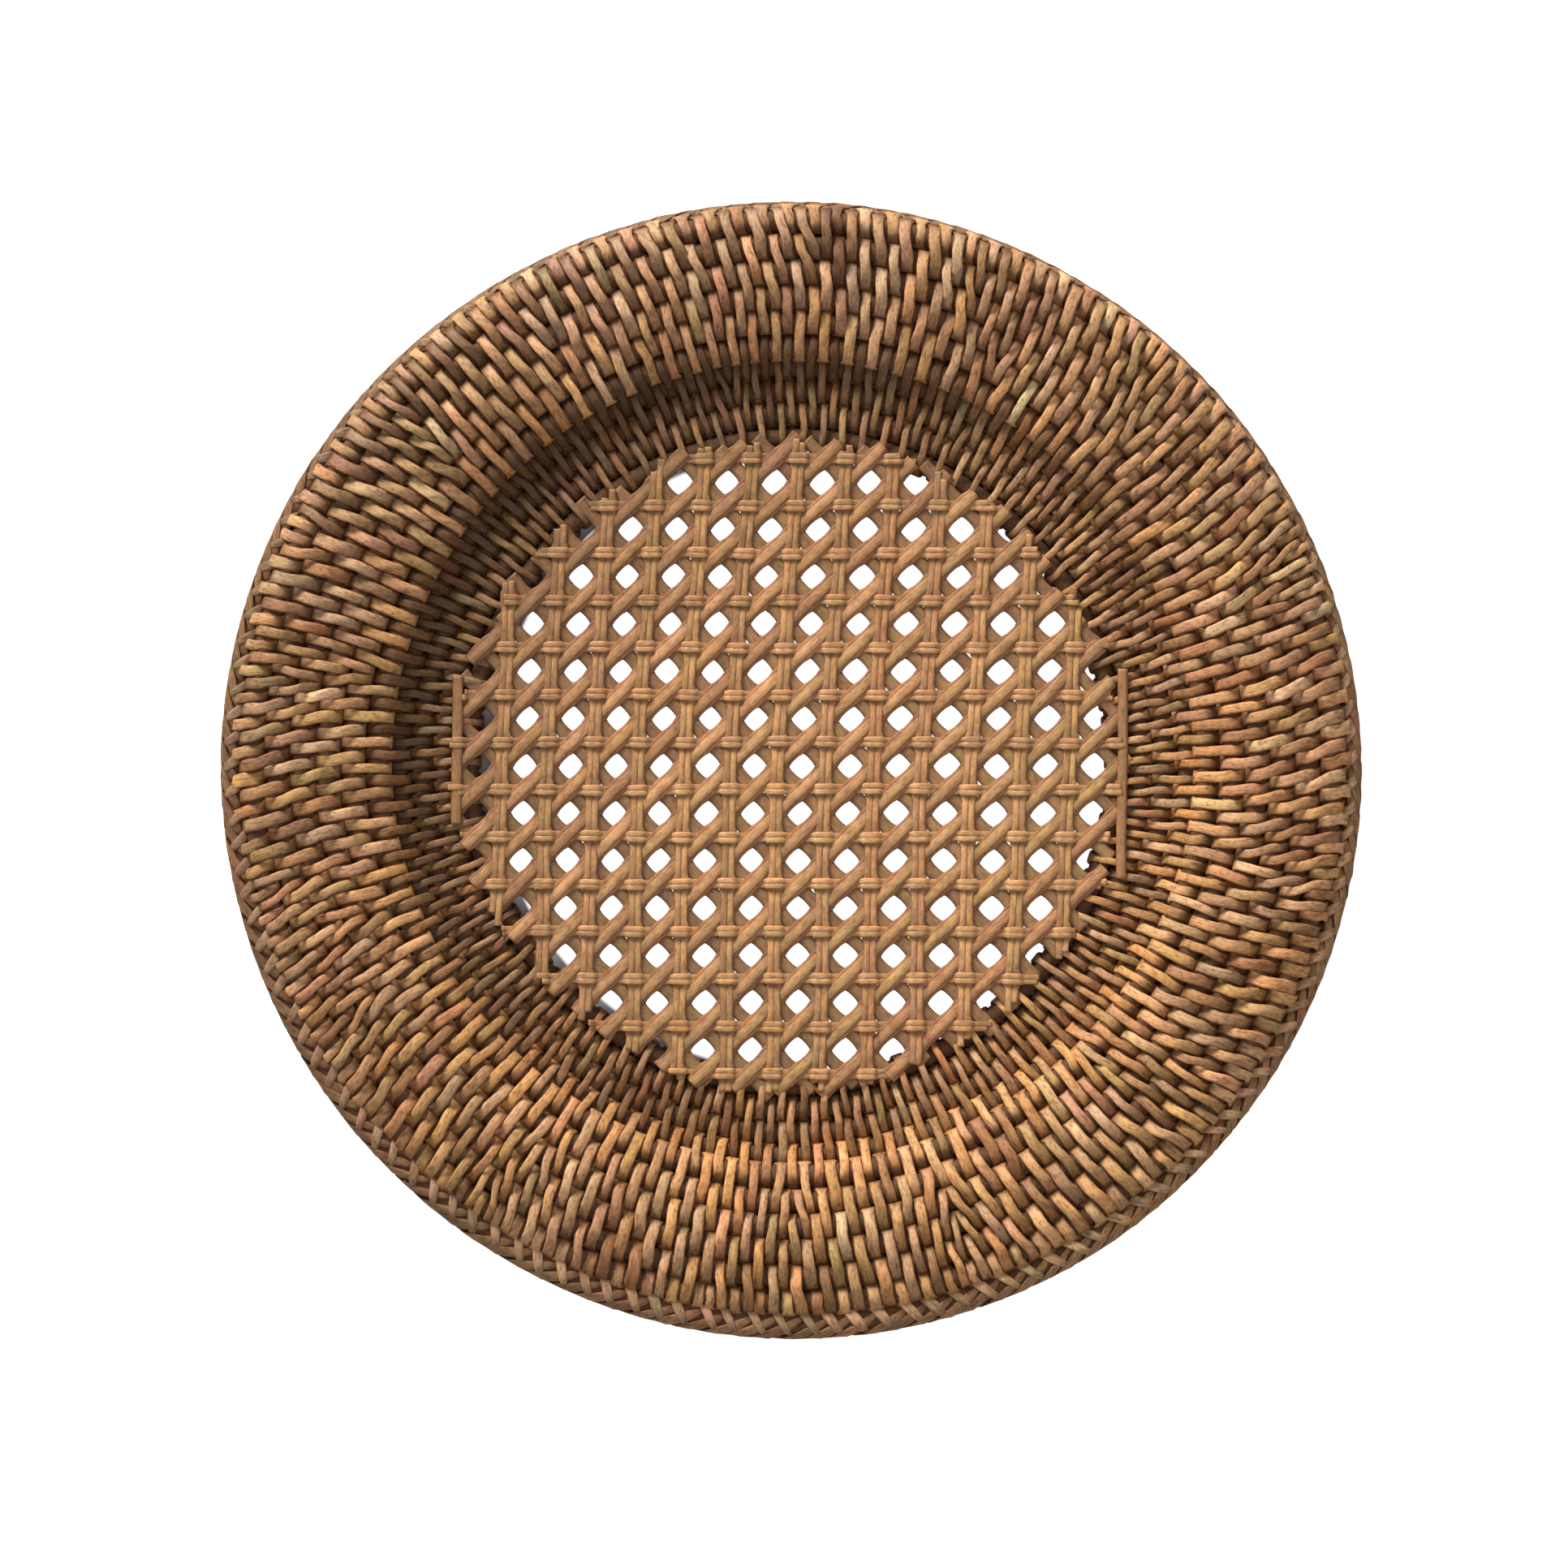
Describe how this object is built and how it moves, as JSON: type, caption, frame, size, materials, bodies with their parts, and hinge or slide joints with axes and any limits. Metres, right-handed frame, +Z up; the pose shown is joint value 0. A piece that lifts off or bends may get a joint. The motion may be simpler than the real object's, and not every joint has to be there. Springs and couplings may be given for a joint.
{
  "type": "charger plate",
  "caption": "Round rattan charger plate with a wide wrapped rim, a shallow well and an open cane panel in its floor.",
  "frame": {"origin": "middle of the plate's outline, on the surface that the plate stands on", "axes": "+Z up out of the well, +Y towards the top of the picture and +X to its right"},
  "size_m": [0.33, 0.33, 0.0188],
  "materials": {
    "hoop_rattan": "matt",
    "wrap_rattan": "satin",
    "edge_rattan": "satin",
    "cane": "satin"
  },
  "bodies": {
    "root": {"edge_hoop": "hoop_rattan", "rim_hoop_1": "hoop_rattan", "rim_hoop_2": "hoop_rattan", "rim_hoop_3": "hoop_rattan", "rim_hoop_4": "hoop_rattan", "rim_hoop_5": "hoop_rattan", "shoulder_hoop": "hoop_rattan", "wall_hoop": "hoop_rattan", "floor_hoop_1": "hoop_rattan", "floor_hoop_2": "hoop_rattan", "panel_hoop": "hoop_rattan", "edge_wraps": "wrap_rattan", "rim_wraps_1": "wrap_rattan", "rim_wraps_2": "wrap_rattan", "rim_wraps_3": "wrap_rattan", "rim_wraps_4": "wrap_rattan", "shoulder_wraps": "wrap_rattan", "wall_wraps": "wrap_rattan", "well_wraps": "wrap_rattan", "floor_wraps": "wrap_rattan", "panel_wraps": "wrap_rattan", "edge_lashing": "edge_rattan", "cane_uprights": "cane", "cane_crossings": "cane", "cane_rising_diagonals": "cane", "cane_falling_diagonals": "cane"}
  },
  "joints": []
}
